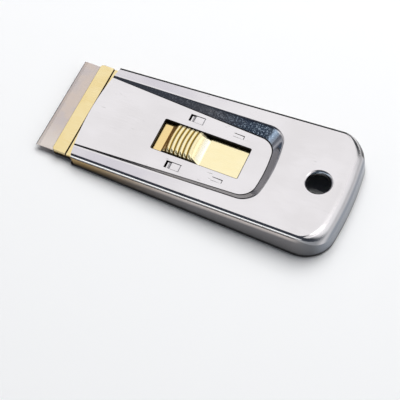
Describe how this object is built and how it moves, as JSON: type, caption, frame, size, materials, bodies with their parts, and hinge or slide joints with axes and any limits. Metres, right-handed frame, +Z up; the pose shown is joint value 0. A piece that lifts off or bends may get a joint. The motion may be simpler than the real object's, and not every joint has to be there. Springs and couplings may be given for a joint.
{
  "type": "window scraper",
  "caption": "Flat wedge-shaped steel scraper handle with a sunk thumb panel, a hanging hole and a sliding brass-plated carriage that clamps a wide thin blade and draws it inside.",
  "frame": {"origin": "middle of the overall length and width, at the underside of the handle", "axes": "+X along the length from the blade's edge to the hanging hole, +Y across, +Z up out of the face with the thumb slide"},
  "size_m": [0.112, 0.0498, 0.0101],
  "materials": {
    "pressed_steel": "bright pressed sheet steel",
    "brass_plate": "pale brass-plated sheet",
    "blade_steel": "plain hardened strip steel, ground edge",
    "rivet_steel": "plain steel, set heads"
  },
  "bodies": {
    "handle": {"handle_shell": "pressed_steel"},
    "carriage": {"slide_plate": "brass_plate", "blade_plate": "brass_plate", "blade": "blade_steel", "blade_peg_right": "rivet_steel", "blade_peg_left": "rivet_steel", "jaw_rivet_right": "rivet_steel", "jaw_rivet_left": "rivet_steel"}
  },
  "joints": [
    {"name": "carriage_slide", "type": "slide", "parent": "handle", "child": "carriage", "axis": [1, 0, 0], "range_m": [-0.003, 0.0142]}
  ]
}
